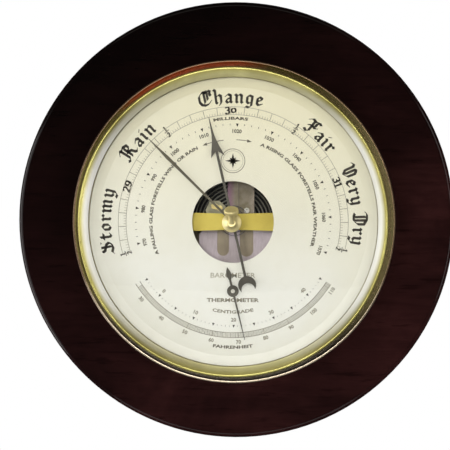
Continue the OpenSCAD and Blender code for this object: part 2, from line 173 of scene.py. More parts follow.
def bend(shapes, radius, turn, inward=False):
    """Wraps shapes round the dial at a clockwise turn from the top, their tops outward or inward."""
    side = -1 if inward else 1
    out = []
    for points, faces in shapes:
        wrapped = []
        for x, y in points:
            a = math.radians(turn) + side * x / radius
            r = radius + side * y
            wrapped.append((r * math.sin(a), r * math.cos(a)))
        out.append((wrapped, faces))
    return out


def tick(turn, r0, r1, width):
    half = width / 2
    return bend([polygon([(-half, 0), (half, 0), (half, r1 - r0), (-half, r1 - r0)])], r0, turn)


def circle_line(r, width, a0=0.0, a1=360.0, step=2.0):
    n = max(2, round((a1 - a0) / step))
    turns = [math.radians(a0 + (a1 - a0) * i / n) for i in range(n + 1)]
    points = [(q * math.sin(a), q * math.cos(a)) for a in turns for q in (r - width / 2, r + width / 2)]
    return [(points, [(2 * i, 2 * i + 2, 2 * i + 3, 2 * i + 1) for i in range(n)])]


def capitals(text, height, width=None, bold=0.0):
    """Plain capitals and figures from Blender's own font, centred on x, standing on y = 0."""
    curve = bpy.data.curves.new("capitals", "FONT")
    curve.body = text
    curve.size = 1
    curve.resolution_u = 2
    curve.offset = bold
    typed = bpy.data.objects.new("capitals", curve)
    bpy.context.scene.collection.objects.link(typed)
    bpy.context.view_layer.update()
    mesh = bpy.data.meshes.new_from_object(typed)
    points = [(v.co.x, v.co.y) for v in mesh.vertices]
    faces = [tuple(f.vertices) for f in mesh.polygons]
    bpy.data.objects.remove(typed)
    bpy.data.curves.remove(curve)
    bpy.data.meshes.remove(mesh)
    left, right = min(p[0] for p in points), max(p[0] for p in points)
    low, high = min(p[1] for p in points), max(p[1] for p in points)
    sy = height / (high - low)
    sx = width / (right - left) if width else sy
    middle = (left + right) / 2
    return [([((x - middle) * sx, (y - low) * sy) for x, y in points], faces)]


# strokes of the weather words' letters, on a baseline at 0 with small letters 4.6 high: (width, strokes)
LETTERS = {
    "C": (6.6, [
        [(4.4, 7.0), (2.4, 6.7), (1.0, 5.2), (0.8, 2.6), (1.6, 1.1), (3.2, 0.5), (4.8, 0.9), (5.9, 2.1)],
        [(3.2, 6.3), (3.2, 1.8)], [(4.5, 6.6), (4.5, 3.0)],
        [(2.8, 6.9), (4.0, 6.2), (5.2, 7.1), (6.1, 6.5)], [(5.7, 6.4), (5.7, 5.1), (6.1, 4.7)]]),
    "S": (6.0, [
        [(5.4, 6.0), (4.2, 7.1), (2.2, 6.9), (1.2, 5.7), (1.6, 4.5), (4.2, 3.4), (4.9, 2.2), (4.2, 0.9),
         (2.4, 0.4), (0.4, 1.3)],
        [(3.1, 6.6), (3.1, 1.2)], [(0.4, 1.3), (-0.2, 0.7)], [(5.3, 6.2), (5.8, 6.9)]]),
    "R": (7.4, [
        [(1.9, 6.6), (1.9, 1.2), (0.9, 0.4), (0.0, 0.9)], [(0.2, 5.9), (1.3, 7.0), (2.2, 6.4)],
        [(1.9, 6.3), (3.6, 7.0), (5.3, 6.1), (5.1, 4.5), (2.9, 3.8)], [(3.5, 6.3), (3.5, 0.9)],
        [(3.1, 3.8), (5.0, 2.9), (5.6, 1.0), (6.4, 0.4), (7.1, 1.0)]]),
    "F": (5.6, [
        [(0.2, 5.9), (1.3, 6.9), (3.0, 6.4), (4.6, 7.1), (5.5, 6.6)],
        [(2.5, 6.4), (2.5, 1.2), (1.6, 0.3), (0.2, 1.0)], [(3.9, 6.2), (3.9, 4.4)],
        [(1.0, 3.5), (2.5, 4.1), (4.4, 3.6), (5.0, 4.2)]]),
    "V": (5.6, [
        [(0.0, 6.4), (0.9, 7.0), (1.6, 6.2), (1.6, 2.0), (3.0, 0.5), (4.7, 1.9), (4.7, 5.6), (3.9, 6.5),
         (3.1, 6.9)],
        [(3.1, 6.6), (3.1, 1.3)]]),
    "D": (6.2, [
        [(0.2, 6.3), (1.2, 7.0), (3.2, 6.7), (5.2, 5.4), (5.2, 2.4), (3.6, 0.6), (1.6, 0.7), (0.4, 1.2)],
        [(2.0, 6.2), (2.0, 1.1)], [(3.5, 6.2), (3.5, 1.2)]]),
    "h": (4.2, [
        [(0.4, 7.0), (1.0, 6.5), (1.0, 0.9), (1.5, 0.45)],
        [(1.1, 3.4), (2.4, 4.4), (3.3, 3.8), (3.3, 0.9), (2.9, 0.1), (2.5, -0.3)]]),
    "a": (4.0, [
        [(0.7, 3.6), (1.8, 4.4), (2.9, 3.8), (2.9, 0.9), (3.4, 0.45)],
        [(2.9, 2.7), (1.3, 2.2), (0.8, 1.2), (1.5, 0.45), (2.8, 1.1)]]),
    "n": (4.4, [
        [(0.4, 4.3), (1.0, 3.8), (1.0, 0.9), (1.5, 0.45)],
        [(1.1, 3.4), (2.4, 4.4), (3.2, 3.8), (3.2, 0.9), (3.7, 0.45)]]),
    "g": (4.1, [
        [(1.5, 4.3), (0.8, 3.6), (0.8, 1.2), (1.6, 0.5), (2.9, 1.3)],
        [(1.5, 4.3), (3.0, 3.9), (3.0, -0.4), (2.0, -1.4), (0.6, -1.0)]]),
    "e": (3.6, [
        [(1.5, 4.3), (0.8, 3.6), (0.8, 1.1), (1.6, 0.45), (3.0, 1.1)],
        [(1.5, 4.3), (2.7, 3.7), (2.5, 2.9), (0.9, 2.1)]]),
    "i": (2.2, [[(0.4, 4.3), (1.0, 3.8), (1.0, 0.9), (1.5, 0.45)], [(0.85, 5.7), (1.15, 6.0)]]),
    "r": (3.2, [[(0.4, 4.3), (1.0, 3.8), (1.0, 0.9), (1.5, 0.45)], [(1.1, 3.4), (2.1, 4.3), (2.8, 3.7)]]),
    "y": (4.3, [
        [(0.4, 4.3), (1.0, 3.8), (1.0, 1.2), (1.8, 0.5), (3.1, 1.3)],
        [(2.6, 4.3), (3.2, 3.8), (3.2, -0.2), (2.1, -1.3), (0.7, -1.0)]]),
    "t": (3.0, [[(1.0, 5.6), (1.0, 1.0), (1.7, 0.45), (2.4, 0.9)], [(0.1, 4.1), (2.4, 4.1)]]),
    "o": (4.0, [
        [(1.8, 4.3), (0.8, 3.5), (0.8, 1.2), (1.9, 0.45)],
        [(1.8, 4.3), (3.0, 3.5), (3.0, 1.3), (1.9, 0.45)]]),
    "m": (6.5, [
        [(0.4, 4.3), (1.0, 3.8), (1.0, 0.9), (1.5, 0.45)],
        [(1.1, 3.4), (2.4, 4.4), (3.1, 3.8), (3.1, 0.9), (3.6, 0.45)],
        [(3.2, 3.4), (4.5, 4.4), (5.2, 3.8), (5.2, 0.9), (5.7, 0.45)]]),
    " ": (2.6, []),
}

# strokes of the large figures, 3.6 high
FIGURES = {
    "0": (2.7, [arc(1.3, 1.8, 1.0, 0, 360, 16)]),
    "1": (1.9, [[(0.3, 2.8), (0.95, 3.4), (0.95, 0.2)], [(0.3, 0.2), (1.6, 0.2)]]),
    "2": (2.6, [arc(1.2, 2.55, 0.85, 160, -30, 8) + [(0.35, 0.3)], [(0.35, 0.3), (2.15, 0.3)]]),
    "3": (2.6, [arc(1.15, 2.6, 0.8, 150, -80, 8), arc(1.1, 1.1, 0.95, 85, -150, 9)]),
    "9": (2.7, [arc(1.25, 2.4, 0.95, 0, 360, 14), [(2.2, 2.4), (2.0, 1.1), (1.2, 0.3), (0.4, 0.5)]]),
}


def write(text, alphabet, corners, gap=0.0):
    """Letters from an alphabet of strokes, side by side and centred on x."""
    shapes, x = [], 0.0
    for letter in text:
        width, strokes = alphabet[letter]
        shapes += moved(pen(strokes, corners), x)
        x += width + gap
    return moved(shapes, -(x - gap) / 2)


INK_THICK = 0.03
INK_SUNK = 0.01


def print_piece(name, shapes, ink):
    """Ink standing a little proud of the dial, as closed flat solids."""
    base = dial_face - INK_SUNK
    work = bmesh.new()
    for points, faces in shapes:
        placed = [work.verts.new(front(x, y, base)) for x, y in points]
        for face in faces:
            work.faces.new([placed[k] for k in face])
    grown = bmesh.ops.extrude_face_region(work, geom=work.faces[:])["geom"]
    lift = front(0, 0, INK_THICK + INK_SUNK)
    bmesh.ops.translate(work, vec=lift, verts=[v for v in grown if isinstance(v, bmesh.types.BMVert)])
    bmesh.ops.recalc_face_normals(work, faces=work.faces)
    mesh = bpy.data.meshes.new(name)
    work.to_mesh(mesh)
    work.free()
    piece = bpy.data.objects.new(name, mesh)
    bpy.context.scene.collection.objects.link(piece)
    finish_piece(piece, "frame", ink, "dial_paint")
    return piece


def finish_piece(piece, body, paint, slot, *replaced):
    piece.data.materials.clear()
    piece.data.materials.append(paint)
    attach(piece, body)
    if replaced:
        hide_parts(*replaced)


# ---- material helpers ----

def srgb(r, g, b):
    """A linear colour from 0 to 255 screen values."""
    def linear(v):
        v /= 255
        return v / 12.92 if v <= 0.04045 else ((v + 0.055) / 1.055) ** 2.4
    return linear(r), linear(g), linear(b), 1.0


class Material:
    """A Principled material built up by naming what drives each socket."""

    def __init__(self, name, **settings):
        self.material = bpy.data.materials.new(name)
        self.material.use_nodes = True
        self.tree = self.material.node_tree
        self.shader = self.tree.nodes["Principled BSDF"]
        for key, value in settings.items():
            self.shader.inputs[key.replace("_", " ")].default_value = value
        self.place = self.node("ShaderNodeTexCoord").outputs["Object"]

    def node(self, kind, inputs=None, **properties):
        made = self.tree.nodes.new(kind)
        for key, value in properties.items():
            setattr(made, key, value)
        for key, value in (inputs or {}).items():
            if isinstance(value, bpy.types.NodeSocket):
                self.tree.links.new(value, made.inputs[key])
            else:
                made.inputs[key].default_value = value
        return made

    def stretched(self, x, y, z):
        """The object's own coordinates, scaled along each axis."""
        return self.node("ShaderNodeMapping", {"Vector": self.place, "Scale": (x, y, z)}).outputs["Vector"]

    def noise(self, scale, detail=4.0, rough=0.5, place=None, distortion=0.0):
        made = self.node("ShaderNodeTexNoise", {
            "Vector": place or self.place, "Scale": scale, "Detail": detail, "Roughness": rough,
            "Distortion": distortion})
        return made.outputs["Fac"]

    def around(self):
        """The distance from the dial's axis."""
        flat = self.node("ShaderNodeVectorMath", {0: self.place, 1: (1, 0, 1)}, operation="MULTIPLY")
        return self.node("ShaderNodeVectorMath", {0: flat.outputs[0]}, operation="LENGTH").outputs["Value"]

    def lines(self, along, per_metre):
        """Fine random lines across a distance, such as a lathe leaves."""
        return self.node("ShaderNodeTexNoise", {"W": along, "Scale": per_metre, "Detail": 3.0},
                         noise_dimensions="1D").outputs["Fac"]

    def ramp(self, factor, stops):
        made = self.node("ShaderNodeValToRGB", {"Fac": factor})
        band = made.color_ramp
        while len(band.elements) < len(stops):
            band.elements.new(0.5)
        for element, (at, colour) in zip(band.elements, stops):
            element.position = at
            element.color = colour
        return made.outputs["Color"]

    def between(self, factor, low, high, start=0.0, end=1.0):
        made = self.node("ShaderNodeMapRange", {
            "Value": factor, "From Min": start, "From Max": end, "To Min": low, "To Max": high})
        return made.outputs["Result"]

    def math(self, operation, a, b):
        return self.node("ShaderNodeMath", {0: a, 1: b}, operation=operation).outputs[0]

    def mix(self, factor, a, b, blend="MIX"):
        made = self.node("ShaderNodeMix", {0: factor, 6: a, 7: b}, data_type="RGBA", blend_type=blend)
        return made.outputs[2]

    def bump(self, height, strength, distance):
        inputs = {"Height": height, "Strength": strength, "Distance": distance}
        return self.node("ShaderNodeBump", inputs).outputs["Normal"]

    def drive(self, **sockets):
        for key, socket in sockets.items():
            self.tree.links.new(socket, self.shader.inputs[key.replace("_", " ")])
        return self.material


# ---- materials ----

GROOVE_PITCH = 1.7


def mahogany():
    """Dark red wood under old varnish, with painted shade making it nearly black towards the top and warmer
    at the lower right.
    """
    m = Material("mahogany", Coat_Weight=0.5, Coat_Roughness=0.1, Coat_IOR=1.45, Specular_IOR_Level=0.04)
    cloud = m.noise(16, 5, 0.6, m.stretched(1, 1, 1.6), 0.6)
    grain = m.noise(42, 7, 0.65, m.stretched(0.35, 3, 3.2), 1.2)
    pores = m.noise(420, 3, 0.7, m.stretched(0.1, 1, 1))
    body = m.ramp(cloud, [(0.28, srgb(46, 23, 23)), (0.5, srgb(69, 37, 37)), (0.72, srgb(95, 54, 54))])
    part = m.node("ShaderNodeSeparateXYZ", {0: m.place}).outputs
    # painted shade: the wood is mixed towards near black up and to the left, leaving the lower right lighter
    low_right = m.math("SUBTRACT", m.math("MULTIPLY", part["X"], 0.45), part["Z"])
    shaded_towards_top = m.mix(m.between(low_right, 0.95, 0.0, -0.1, 0.08), body, srgb(9, 3, 2))
    streak = m.ramp(grain, [
        (0.3, srgb(110, 84, 78)), (0.55, srgb(208, 192, 186)), (0.8, srgb(255, 244, 238))])
    streaked = m.mix(0.6, shaded_towards_top, streak, "MULTIPLY")
    fleck = m.ramp(pores, [(0.33, srgb(120, 96, 90)), (0.42, srgb(255, 255, 255))])
    colour = m.mix(0.5, streaked, fleck, "MULTIPLY")
    normal = m.bump(pores, 0.15, 0.0002)
    return m.drive(Base_Color=colour, Roughness=m.between(grain, 0.3, 0.45), Normal=normal)


def brass(name, bright, dull, rough, fine=2600, wear=0.35, streaks=0.12, metal=1.0):
    """Turned or brushed brass: tarnish clouds, fine lines from the tool and faint handling marks."""
    m = Material(name, Metallic=metal)
    tarnish = m.noise(38, 6, 0.62, None, 0.4)
    speck = m.noise(900, 3, 0.6)
    tool_lines = m.lines(m.around(), fine)
    blend = m.math("MULTIPLY", m.between(tarnish, 0.0, 1.0, 0.35, 0.75), wear)
    colour = m.mix(blend, bright, dull)
    colour = m.mix(m.between(speck, 0.0, 0.25, 0.45, 0.8), colour, dull)
    gloss = m.math("ADD", m.between(tarnish, rough * 0.8, rough * 1.35, 0.3, 0.7),
                   m.between(tool_lines, -0.03, 0.05))
    return m.drive(Base_Color=colour, Roughness=gloss, Normal=m.bump(tool_lines, streaks, 0.00004))


def bezel_metal():
    """Brass under old lacquer: a satin slope with a painted highlight, pale at its left and right and
    yellowing towards the top and the foot, a yellow crest, and a hollow side gone olive, with painted shade
    nearly black at the foot, a painted highlight pale at the right, a painted reflection copper at the upper
    left, and a painted highlight pale at the bead's foot."""
    crest_in, side_in, bead_in = (0.0696, 0.0714), (0.0724, 0.0735), (0.0752, 0.0757)
    m = Material("bezel_brass", Metallic=0.7)
    tarnish = m.noise(38, 6, 0.62, None, 0.4)
    reach = m.around()
    tool_lines = m.lines(reach, 2400)
    part = m.node("ShaderNodeSeparateXYZ", {0: m.place}).outputs
    # painted highlight: the slope's near-white colour stands for lamps shining in it; it stays at the left
    # and right and gives way to yellow brass towards the top and the foot
    pale = m.mix(m.between(tarnish, 0.0, 0.4, 0.35, 0.75), srgb(246, 245, 236), srgb(230, 225, 196))
    yellow = m.mix(m.between(tarnish, 0.0, 0.8, 0.35, 0.7), srgb(196, 188, 112), srgb(146, 134, 66))
    height = m.math("ABSOLUTE", part["Z"], 0.0)
    slope = m.mix(m.between(height, 0.0, 0.85, 0.036, 0.066), pale, yellow)
    slope_highlight_and_crest = m.mix(m.between(reach, 0.0, 1.0, *crest_in), slope, yellow)
    olive_tarnish_and_highlight = m.mix(m.between(tarnish, 0.0, 0.8, 0.35, 0.7), srgb(134, 124, 58), srgb(76, 64, 26))
    # painted highlight: the hollow side turns pale brass at the right
    olive_tarnish_and_highlight = m.mix(m.between(part["X"], 0.0, 0.9, 0.035, 0.066), olive_tarnish_and_highlight, srgb(226, 212, 150))
    # painted shade: the hollow side goes nearly black towards the foot
    olive_and_painted_shade = m.mix(m.between(part["Z"], 1.0, 0.0, -0.06, -0.03), olive_tarnish_and_highlight, srgb(14, 9, 4))
    # painted reflection: the hollow side is copper at the upper left, standing for the red wood shining in
    # the brass
    upper_left = m.math("SUBTRACT", part["Z"], m.math("MULTIPLY", part["X"], 0.3))
    side = m.mix(m.between(upper_left, 0.0, 0.9, 0.0675, 0.074), olive_and_painted_shade, srgb(216, 92, 40))
    # painted highlight: the bead is pale towards its foot and dark bronze above
    bead_and_painted_highlight = m.mix(m.between(part["Z"], 0.0, 0.95, -0.062, -0.025), srgb(232, 214, 186), srgb(78, 54, 30))
    side = m.mix(m.between(reach, 0.0, 1.0, *bead_in), side, bead_and_painted_highlight)
    colour = m.mix(m.between(reach, 0.0, 1.0, *side_in), slope_highlight_and_crest, side)
    satin = m.between(reach, 0.42, 0.24, 0.069, 0.072)
    gloss = m.math("ADD", satin, m.math("ADD", m.between(tarnish, -0.03, 0.06, 0.3, 0.7),
                                        m.between(tool_lines, -0.02, 0.04)))
    return m.drive(Base_Color=colour, Roughness=gloss, Normal=m.bump(tool_lines, 0.1, 0.00004))


def capsule_metal():
    """Silvery corrugations with painted shade nearly black in their troughs, and a plain brown-grey without
    rings on the lower half.
    """
    m = Material("capsule_metal", Metallic=0.35, Roughness=0.34)
    reach = m.around()
    wave = m.math("SINE", m.math("MULTIPLY", reach, FULL_TURN / (GROOVE_PITCH * MM)), 0.0)
    cloud = m.noise(60, 5, 0.6)
    silver = m.mix(m.between(cloud, 0.0, 0.6, 0.35, 0.7), srgb(232, 230, 218), srgb(150, 142, 120))
    # painted shade: the troughs between the silvery crests are nearly black
    rings_and_painted_shade = m.mix(m.between(wave, 1.0, 0.0, 0.35, 0.85), silver, srgb(16, 14, 13))
    # the lower half is a plain brown-grey without rings
    lower_half_brown = m.mix(m.between(cloud, 0.0, 0.8, 0.35, 0.7), srgb(176, 164, 140), srgb(122, 108, 84))
    high = m.node("ShaderNodeSeparateXYZ", {0: m.place}).outputs["Z"]
    colour = m.mix(m.between(high, 0.0, 1.0, -0.003, 0.002), lower_half_brown, rings_and_painted_shade)
    return m.drive(Base_Color=colour, Normal=m.bump(cloud, 0.1, 0.0001))


def leaf_steel(channel_h):
    """Grey spring steel with a mauve temper colour; the floors of its channels are browner."""
    m = Material("leaf_steel", Metallic=0.25)
    cloud = m.noise(70, 5, 0.6)
    scratch = m.noise(700, 4, 0.6, m.stretched(4, 1, 0.25))
    mauve = m.mix(m.between(cloud, 0.0, 0.8, 0.35, 0.7), srgb(204, 190, 200), srgb(152, 140, 136))
    brown = m.mix(m.between(cloud, 0.0, 0.8, 0.35, 0.7), srgb(160, 146, 122), srgb(118, 104, 84))
    depth = m.node("ShaderNodeSeparateXYZ", {0: m.place}).outputs["Y"]
    face = -channel_h * MM
    colour = m.mix(m.between(depth, 0.0, 1.0, face - 0.1 * MM, face + 0.1 * MM), mauve, brown)
    colour = m.mix(m.between(scratch, 0.0, 0.3, 0.4, 0.75), colour, srgb(120, 108, 104))
    return m.drive(Base_Color=colour, Roughness=m.between(scratch, 0.32, 0.5, 0.3, 0.7),
                   Normal=m.bump(scratch, 0.12, 0.00005))


def lever_steel():
    """Brown-grey lever, darker upwards, with a purple edge on its left and greenish clouds."""
    m = Material("lever_steel", Metallic=0.25)
    cloud = m.noise(130, 4, 0.6)
    scratch = m.noise(700, 4, 0.6, m.stretched(4, 1, 0.3))
    grey = m.mix(m.between(cloud, 0.0, 1.0, 0.38, 0.64), srgb(172, 160, 148), srgb(118, 108, 80))
    part = m.node("ShaderNodeSeparateXYZ", {0: m.place}).outputs
    grey = m.mix(m.between(part["Z"], 0.0, 0.6, 0.004, 0.014), grey, srgb(100, 88, 66))
    colour = m.mix(m.between(part["X"], 0.8, 0.0, -0.002, 0.0004), grey, srgb(150, 108, 134))
    return m.drive(Base_Color=colour, Roughness=m.between(scratch, 0.34, 0.54, 0.3, 0.7),
                   Normal=m.bump(scratch, 0.12, 0.00005))


def worked_metal(name, bright, dull, rough, grain=(1, 1, 1), metal=1.0):
    """Steel or nickel with a brushed grain along its long way and some clouding."""
    m = Material(name, Metallic=metal)
    cloud = m.noise(55, 5, 0.6)
    scratch = m.noise(700, 4, 0.6, m.stretched(*grain))
    colour = m.mix(m.math("MULTIPLY", m.between(cloud, 0.0, 1.0, 0.35, 0.7), 0.5), bright, dull)
    colour = m.mix(m.between(scratch, 0.0, 0.3, 0.4, 0.75), colour, dull)
    gloss = m.between(scratch, rough * 0.75, rough * 1.3, 0.3, 0.7)
    return m.drive(Base_Color=colour, Roughness=gloss, Normal=m.bump(scratch, 0.12, 0.00005))


def enamel():
    """Cream paint baked on the dial plate, with painted shade making it darker and more yellow towards its
    upper right and its rim.
    """
    m = Material("dial_enamel", Coat_Weight=0.35, Coat_Roughness=0.2, Specular_IOR_Level=0.4)
    cloud = m.noise(22, 5, 0.6)
    fine = m.noise(260, 4, 0.6)
    part = m.node("ShaderNodeSeparateXYZ", {0: m.place}).outputs
    high = m.math("ADD", part["Z"], m.math("MULTIPLY", part["X"], 0.15))
    edge = m.around()
    # painted shade: the cream turns darker and more yellow towards the upper right
    cream_with_painted_shade = m.mix(m.between(high, 0.0, 1.0, -0.03, 0.064), srgb(247, 247, 241), srgb(232, 225, 190))
    # painted shade: darker and more yellow towards the rim
    cream_with_painted_shade = m.mix(m.between(edge, 0.0, 0.3, 0.05, 0.068), cream_with_painted_shade, srgb(232, 228, 200))
    cream_with_painted_shade = m.mix(m.between(cloud, 0.0, 0.22, 0.4, 0.7), cream_with_painted_shade, srgb(226, 222, 196))
    cream_with_painted_shade = m.mix(m.between(fine, 0.0, 0.1, 0.5, 0.75), cream_with_painted_shade, srgb(205, 198, 170))
    return m.drive(Base_Color=cream_with_painted_shade, Roughness=m.between(fine, 0.34, 0.5), Normal=m.bump(fine, 0.05, 0.0001))


def ink(name, dark, pale):
    """Printing ink with the slightly uneven cover of an old dial."""
    m = Material(name, Specular_IOR_Level=0.3)
    cover = m.noise(520, 5, 0.7)
    patch = m.noise(90, 3, 0.5)
    both = m.math("ADD", m.math("MULTIPLY", cover, 0.6), m.math("MULTIPLY", patch, 0.4))
    colour = m.ramp(both, [(0.38, dark), (0.62, pale)])
    return m.drive(Base_Color=colour, Roughness=m.between(cover, 0.47, 0.65))


def clear_glass():
    """Window glass whose shadow rays pass straight through, with faint dust in its gloss."""
    m = Material("dome_glass", Transmission_Weight=1.0, IOR=1.5, Base_Color=srgb(253, 253, 251))
    dust = m.noise(60, 5, 0.65)
    m.drive(Roughness=m.between(dust, 0.0, 0.02, 0.45, 0.8))
    clear = m.node("ShaderNodeBsdfTransparent", {"Color": srgb(251, 251, 249)})
    rays = m.node("ShaderNodeLightPath")
    both = m.node("ShaderNodeMixShader", {
        0: rays.outputs["Is Shadow Ray"], 1: m.shader.outputs[0], 2: clear.outputs[0]})
    out = m.tree.nodes["Material Output"]
    m.tree.links.new(both.outputs[0], out.inputs["Surface"])
    return m.material


def pale_rubber():
    """Cream rubber with a fine grain."""
    m = Material("pale_rubber", Specular_IOR_Level=0.3)
    grain = m.noise(800, 4, 0.7)
    colour = m.ramp(grain, [(0.3, srgb(196, 184, 150)), (0.7, srgb(232, 224, 196))])
    return m.drive(Base_Color=colour, Roughness=m.between(grain, 0.6, 0.85),
                   Normal=m.bump(grain, 0.3, 0.0001))


bezel_brass = bezel_metal()
knob_brass = brass("knob_brass", srgb(250, 236, 172), srgb(214, 184, 108), 0.4, 5200, wear=0.3, metal=0.7)
plate_brass = brass("plate_brass", srgb(214, 196, 94), srgb(180, 154, 62), 0.48, 3000, wear=0.4, metal=0.45)
small_brass = brass("small_brass", srgb(224, 206, 140), srgb(160, 132, 76), 0.42, 3600, wear=0.5, metal=0.6)
spun_brass = brass("spun_brass", srgb(224, 212, 168), srgb(160, 142, 98), 0.42, 1500, wear=0.7, streaks=0.25)
hanger_brass = brass("hanger_brass", srgb(206, 184, 104), srgb(128, 100, 48), 0.33, 1800, wear=0.6)
wood = mahogany()
dial_enamel = enamel()
dark_ink = ink("dark_ink", srgb(40, 36, 31), srgb(76, 70, 60))
soft_ink = ink("soft_ink", srgb(72, 68, 56), srgb(112, 106, 90))
grey_ink = ink("grey_ink", srgb(118, 113, 98), srgb(160, 154, 136))
pale_ink = ink("pale_ink", srgb(150, 146, 130), srgb(186, 181, 164))
glass_clear = clear_glass()
rubber = pale_rubber()
polished_steel = worked_metal("polished_steel", srgb(214, 212, 204), srgb(136, 130, 120), 0.34, metal=0.6)
mainspring_steel = leaf_steel(foot_of("lever_arm") - 0.25)
lever_metal = lever_steel()
chain_steel = worked_metal("chain_steel", srgb(120, 112, 102), srgb(70, 62, 56), 0.4, metal=0.5)
blued_steel = worked_metal("blued_steel", srgb(74, 86, 128), srgb(38, 40, 72), 0.25)
nickel_silver = capsule_metal()
cock_nickel = worked_metal("cock_nickel", srgb(150, 146, 122), srgb(88, 82, 62), 0.4, metal=0.5)
bimetal_strip = worked_metal("bimetal_strip", srgb(204, 150, 104), srgb(132, 92, 62), 0.36)
hand_black = worked_metal("hand_black", srgb(84, 80, 70), srgb(44, 41, 36), 0.42, (3, 1, 0.4), metal=0.3)
set_hand_bronze = worked_metal(
    "set_hand_bronze", srgb(96, 90, 72), srgb(62, 57, 46), 0.42, (3, 1, 0.4), metal=0.3)

CAD_FINISHES = {
    wood: ["wood_base"],
    hanger_brass: ["hanger_plate", "hanger_screws"],
    spun_brass: ["case"],
    rubber: ["glass_gasket"],
    polished_steel: ["retaining_ring", "movement_screws", "bridge_screws", "centre_arbor", "capsule_stud",
                     "knife_pin", "spring_clamp", "clamp_screws", "lever_screws", "link", "rocker_shaft",
                     "thermometer_arbor"],
    small_brass: ["case_screws", "set_bush", "set_nut", "dial_pillars", "bridge_pillars",
                  "hairspring_stud", "chain_drum", "hand_collet", "adjusting_screw", "rocker_posts",
                  "rocker_arm", "rocker_crank", "thermometer_bracket"],
    plate_brass: ["base_plate", "bridge_bar"],
    cock_nickel: ["lower_cock"],
    dial_enamel: ["dial"],
    blued_steel: ["hairspring"],
    mainspring_steel: ["mainspring"],
    lever_metal: ["lever_arm"],
    bimetal_strip: ["bimetal_coil"],
    hand_black: ["barometer_hand", "thermometer_hand"],
    set_hand_bronze: ["set_hand"],
}
for paint, named in CAD_FINISHES.items():
    for node in named:
        nodes[node].data.materials.clear()
        nodes[node].data.materials.append(paint)


# ---- bezel, glass and knob ----

def make_bezel():
    """Bead at the foot, hollow side, round crest and a bright slope down to the glass."""
    outer, foot, crest = radius_of("bezel"), foot_of("bezel"), top_of("bezel")
    sight = radius_of("dial") + 0.4
    lip = top_of("glass_gasket")
    seat = radius_of("glass") + 0.2
    inner = radius_of("case") + 0.05
    bead, crest_r = 0.75, 0.9
    side, side_h = outer - 2 * bead, foot + 1.7
    crest_x = outer - 4.6
    flare = side - crest_x - crest_r
    rise = crest - crest_r - side_h
    cove = [(side - flare * (1 - (1 - t) ** 2), side_h + rise * t) for t in (i / 24 for i in range(1, 25))]
    shoulder = crest_x - 0.2
    slope = [(shoulder - (shoulder - sight) * t, crest - (crest - lip - 0.5) * (1 - (1 - t) ** 1.15))
             for t in (i / 20 for i in range(1, 21))]
    profile = [(inner, foot), (outer - bead - 0.1, foot), (outer - bead, foot + 0.01)]
    profile += arc(outer - bead, foot + bead, bead, -80, 110, 24)
    profile += cove
    profile += arc(crest_x, crest - crest_r, crest_r, 10, 105, 20)
    profile += slope
    profile += [(sight, lip), (seat, lip), (seat, foot + 3.2), (inner, foot + 3.2)]
    ring = lathe("bezel_ring", profile, 360)
    finish_piece(ring, "frame", bezel_brass, "polished_brass", "bezel")


def make_glass():
    """A domed disc with a flat ground edge and a hole for the knob's bush."""
    edge, rim = radius_of("glass"), foot_of("glass")
    thick = 2.0
    rim_top = rim + thick - 0.2
    dome_edge = radius_of("dial") + 0.3
    inside_top = top_of("glass") - thick
    rise = inside_top - rim - 0.2
    dome_r = ((dome_edge + 0.1) ** 2 + rise ** 2) / (2 * rise)
    hole = 2.15
    steps = 48

    def dome(sphere, top, r):
        return top - sphere + math.sqrt(sphere * sphere - r * r)

    radii = [hole + (dome_edge - hole) * i / steps for i in range(steps + 1)]
    inside = [(r, dome(dome_r, inside_top, r)) for r in radii]
    outside = [(r, dome(dome_r + thick, inside_top + thick, r)) for r in reversed(radii)]
    rim_line = [(dome_edge, rim), (edge - 0.15, rim), (edge, rim + 0.15), (edge, rim_top - 0.15),
                (edge - 0.15, rim_top), (dome_edge + 0.02, rim_top)]
    pane = lathe("dome_glass", inside + rim_line + outside, 256)
    finish_piece(pane, "frame", glass_clear, "glass", "glass")


def make_knob():
    """A flared foot on the set hand's spindle, and a knurled head on a neck that leans up the dial."""
    spindle_foot, foot = foot_of("set_knob"), top_of("set_bush") + 0.2
    foot_r = radius_of("set_knob")
    head_r, neck, neck_foot, lean = 3.4, 6.2, 1.7, math.radians(60)
    knurls, depth = 40, 0.07
    flare = [(0, spindle_foot), (1, spindle_foot), (1, foot), (foot_r - 0.2, foot)]
    flare += arc(foot_r - 0.3, foot + 0.35, 0.3, -60, 70, 8)
    flare += [(foot_r - 1.0, foot + 0.95), (2.7, foot + 1.5), (2.1, foot + 2.0), (1.8, foot + 2.5),
              (0, foot + 2.5)]
    head = [(0, 0), (1.6, 0), (1.45, neck * 0.45), (1.6, neck - 1.9), (2.2, neck - 1.45),
            (head_r - 0.25, neck - 0.85)]
    first = len(head)
    head += [(head_r - 0.1, neck - 0.6), (head_r - 0.1, neck + 0.4)]
    last = len(head)
    head += arc(head_r - 0.75, neck + 0.5, 0.65, 10, 75, 8)
    head += [(1.8, neck + 1.28), (0.9, neck + 1.38), (0, neck + 1.4)]

    def knurl(k, turn):
        return depth * math.cos(knurls * turn) if first <= k < last else 0.0

    points, faces = turned(flare, 160, closed=False)
    upright, more = turned(head, 320, closed=False, ripple=knurl)
    start = len(points)
    up, out = math.sin(lean), math.cos(lean)
    points += [(x, y * out + h * up, foot + neck_foot + h * out - y * up) for x, y, h in upright]
    faces += [tuple(start + k for k in face) for face in more]
    knob = mesh_piece("setting_knob", points, faces, 40)
    finish_piece(knob, "set_pointer", knob_brass, "polished_brass", "set_knob")


# ---- capsule and chain ----

